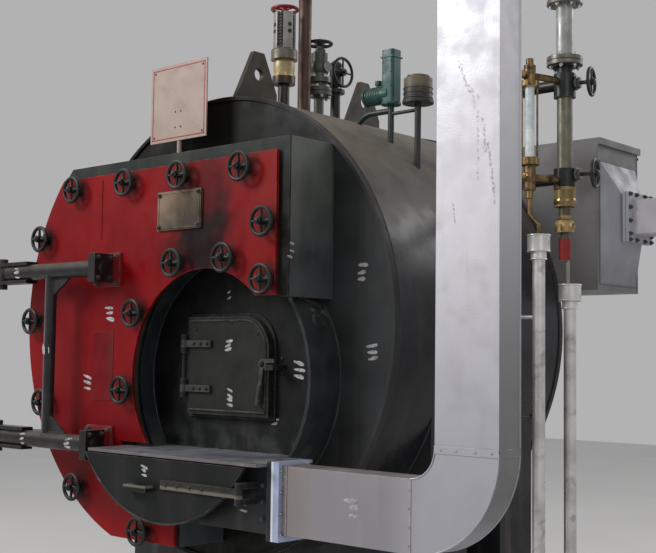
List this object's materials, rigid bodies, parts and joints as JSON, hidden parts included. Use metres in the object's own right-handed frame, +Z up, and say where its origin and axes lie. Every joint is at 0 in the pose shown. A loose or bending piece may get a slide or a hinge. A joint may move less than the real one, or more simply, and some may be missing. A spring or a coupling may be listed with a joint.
{
  "type": "industrial boiler",
  "caption": "Horizontal fire-tube boiler fired by hand, with a swinging smokebox door, fire door, ash door, air duct and top valves.",
  "frame": {"origin": "on the floor, middle of the front saddle's base plate", "axes": "+X to the right seen from the front, +Y towards the rear along the shell, +Z up"},
  "size_m": [2.8525, 2.136, 3.12],
  "materials": {
    "shell_paint": "dark blue-black gloss paint",
    "door_red": "dark red paint, sooted",
    "pad_red": "lighter red paint",
    "black_iron": "black",
    "dark_steel": "dark paint",
    "grey_steel": "worn steel",
    "duct_sheet": "bare sheet",
    "cover_beige": "pale paint",
    "sign": "pale paint",
    "brass": "dull",
    "copper_pipe": "brown",
    "teal_box": "satin",
    "gauge": "clear",
    "pipe_steel": "bright"
  },
  "bodies": {
    "boiler": {"shell": "shell_paint", "front_tube_plate": "shell_paint", "front_flange_ring": "shell_paint", "rear_end_plate": "shell_paint", "tube_ends": "grey_steel", "furnace_tube": "dark_steel", "furnace_front_plate": "dark_steel", "grate": "black_iron", "fire_door_frame": "dark_steel", "smokebox": "shell_paint", "smokebox_frame": "dark_steel", "hinge_brackets": "black_iron", "ash_shelf": "grey_steel", "ash_pit": "dark_steel", "duct_flange": "grey_steel", "duct_transition": "duct_sheet", "duct_elbow": "duct_sheet", "duct_riser": "duct_sheet", "lifting_lugs": "shell_paint", "sign_plate": "sign", "safety_valve": "brass", "steam_outlet": "copper_pipe", "stop_valve": "dark_steel", "feed_valve": "dark_steel", "level_controller": "teal_box", "water_column": "dark_steel", "gauge_glass": "gauge", "drain_standpipes": "pipe_steel", "rear_smokebox": "grey_steel", "outlet_cone": "grey_steel", "saddles": "shell_paint"},
    "door": {"smokebox_door": "door_red", "inspection_cover": "cover_beige", "door_handwheels": "black_iron", "hinge_arm_upper": "black_iron", "hinge_arm_lower": "black_iron", "hinge_brace": "black_iron", "door_brackets": "pad_red"},
    "fire_door": {"fire_door": "dark_steel", "fire_door_straps": "dark_steel"},
    "fire_latch": {"fire_latch": "black_iron"},
    "ash_door": {"ash_door": "dark_steel"},
    "stop_wheel": {"stop_valve_wheel": "black_iron"},
    "feed_wheel": {"feed_valve_wheel": "black_iron"}
  },
  "joints": [
    {"name": "smokebox_door_swing", "type": "hinge", "parent": "boiler", "child": "door", "pos_m": [-1.075, -0.835, 1.5], "axis": [0, 0, -1], "range_deg": [0, 110]},
    {"name": "fire_door_swing", "type": "hinge", "parent": "boiler", "child": "fire_door", "pos_m": [-0.031, -0.605, 1.33], "axis": [0, 0, -1], "range_deg": [0, 90]},
    {"name": "fire_latch_turn", "type": "hinge", "parent": "fire_door", "child": "fire_latch", "pos_m": [0.444, -0.614, 1.34], "axis": [0, -1, 0], "range_deg": [0, 40]},
    {"name": "ash_door_swing", "type": "hinge", "parent": "boiler", "child": "ash_door", "pos_m": [0.66801, -0.946, 0.871], "axis": [0, 0, 1], "range_deg": [0, 100]},
    {"name": "stop_wheel_turn", "type": "hinge", "parent": "boiler", "child": "stop_wheel", "pos_m": [0, 0.19, 2.884], "axis": [0, 0, 1], "continuous": true},
    {"name": "feed_wheel_turn", "type": "hinge", "parent": "boiler", "child": "feed_wheel", "pos_m": [0.048, 0.31, 2.76], "axis": [1, 0, 0], "continuous": true}
  ]
}
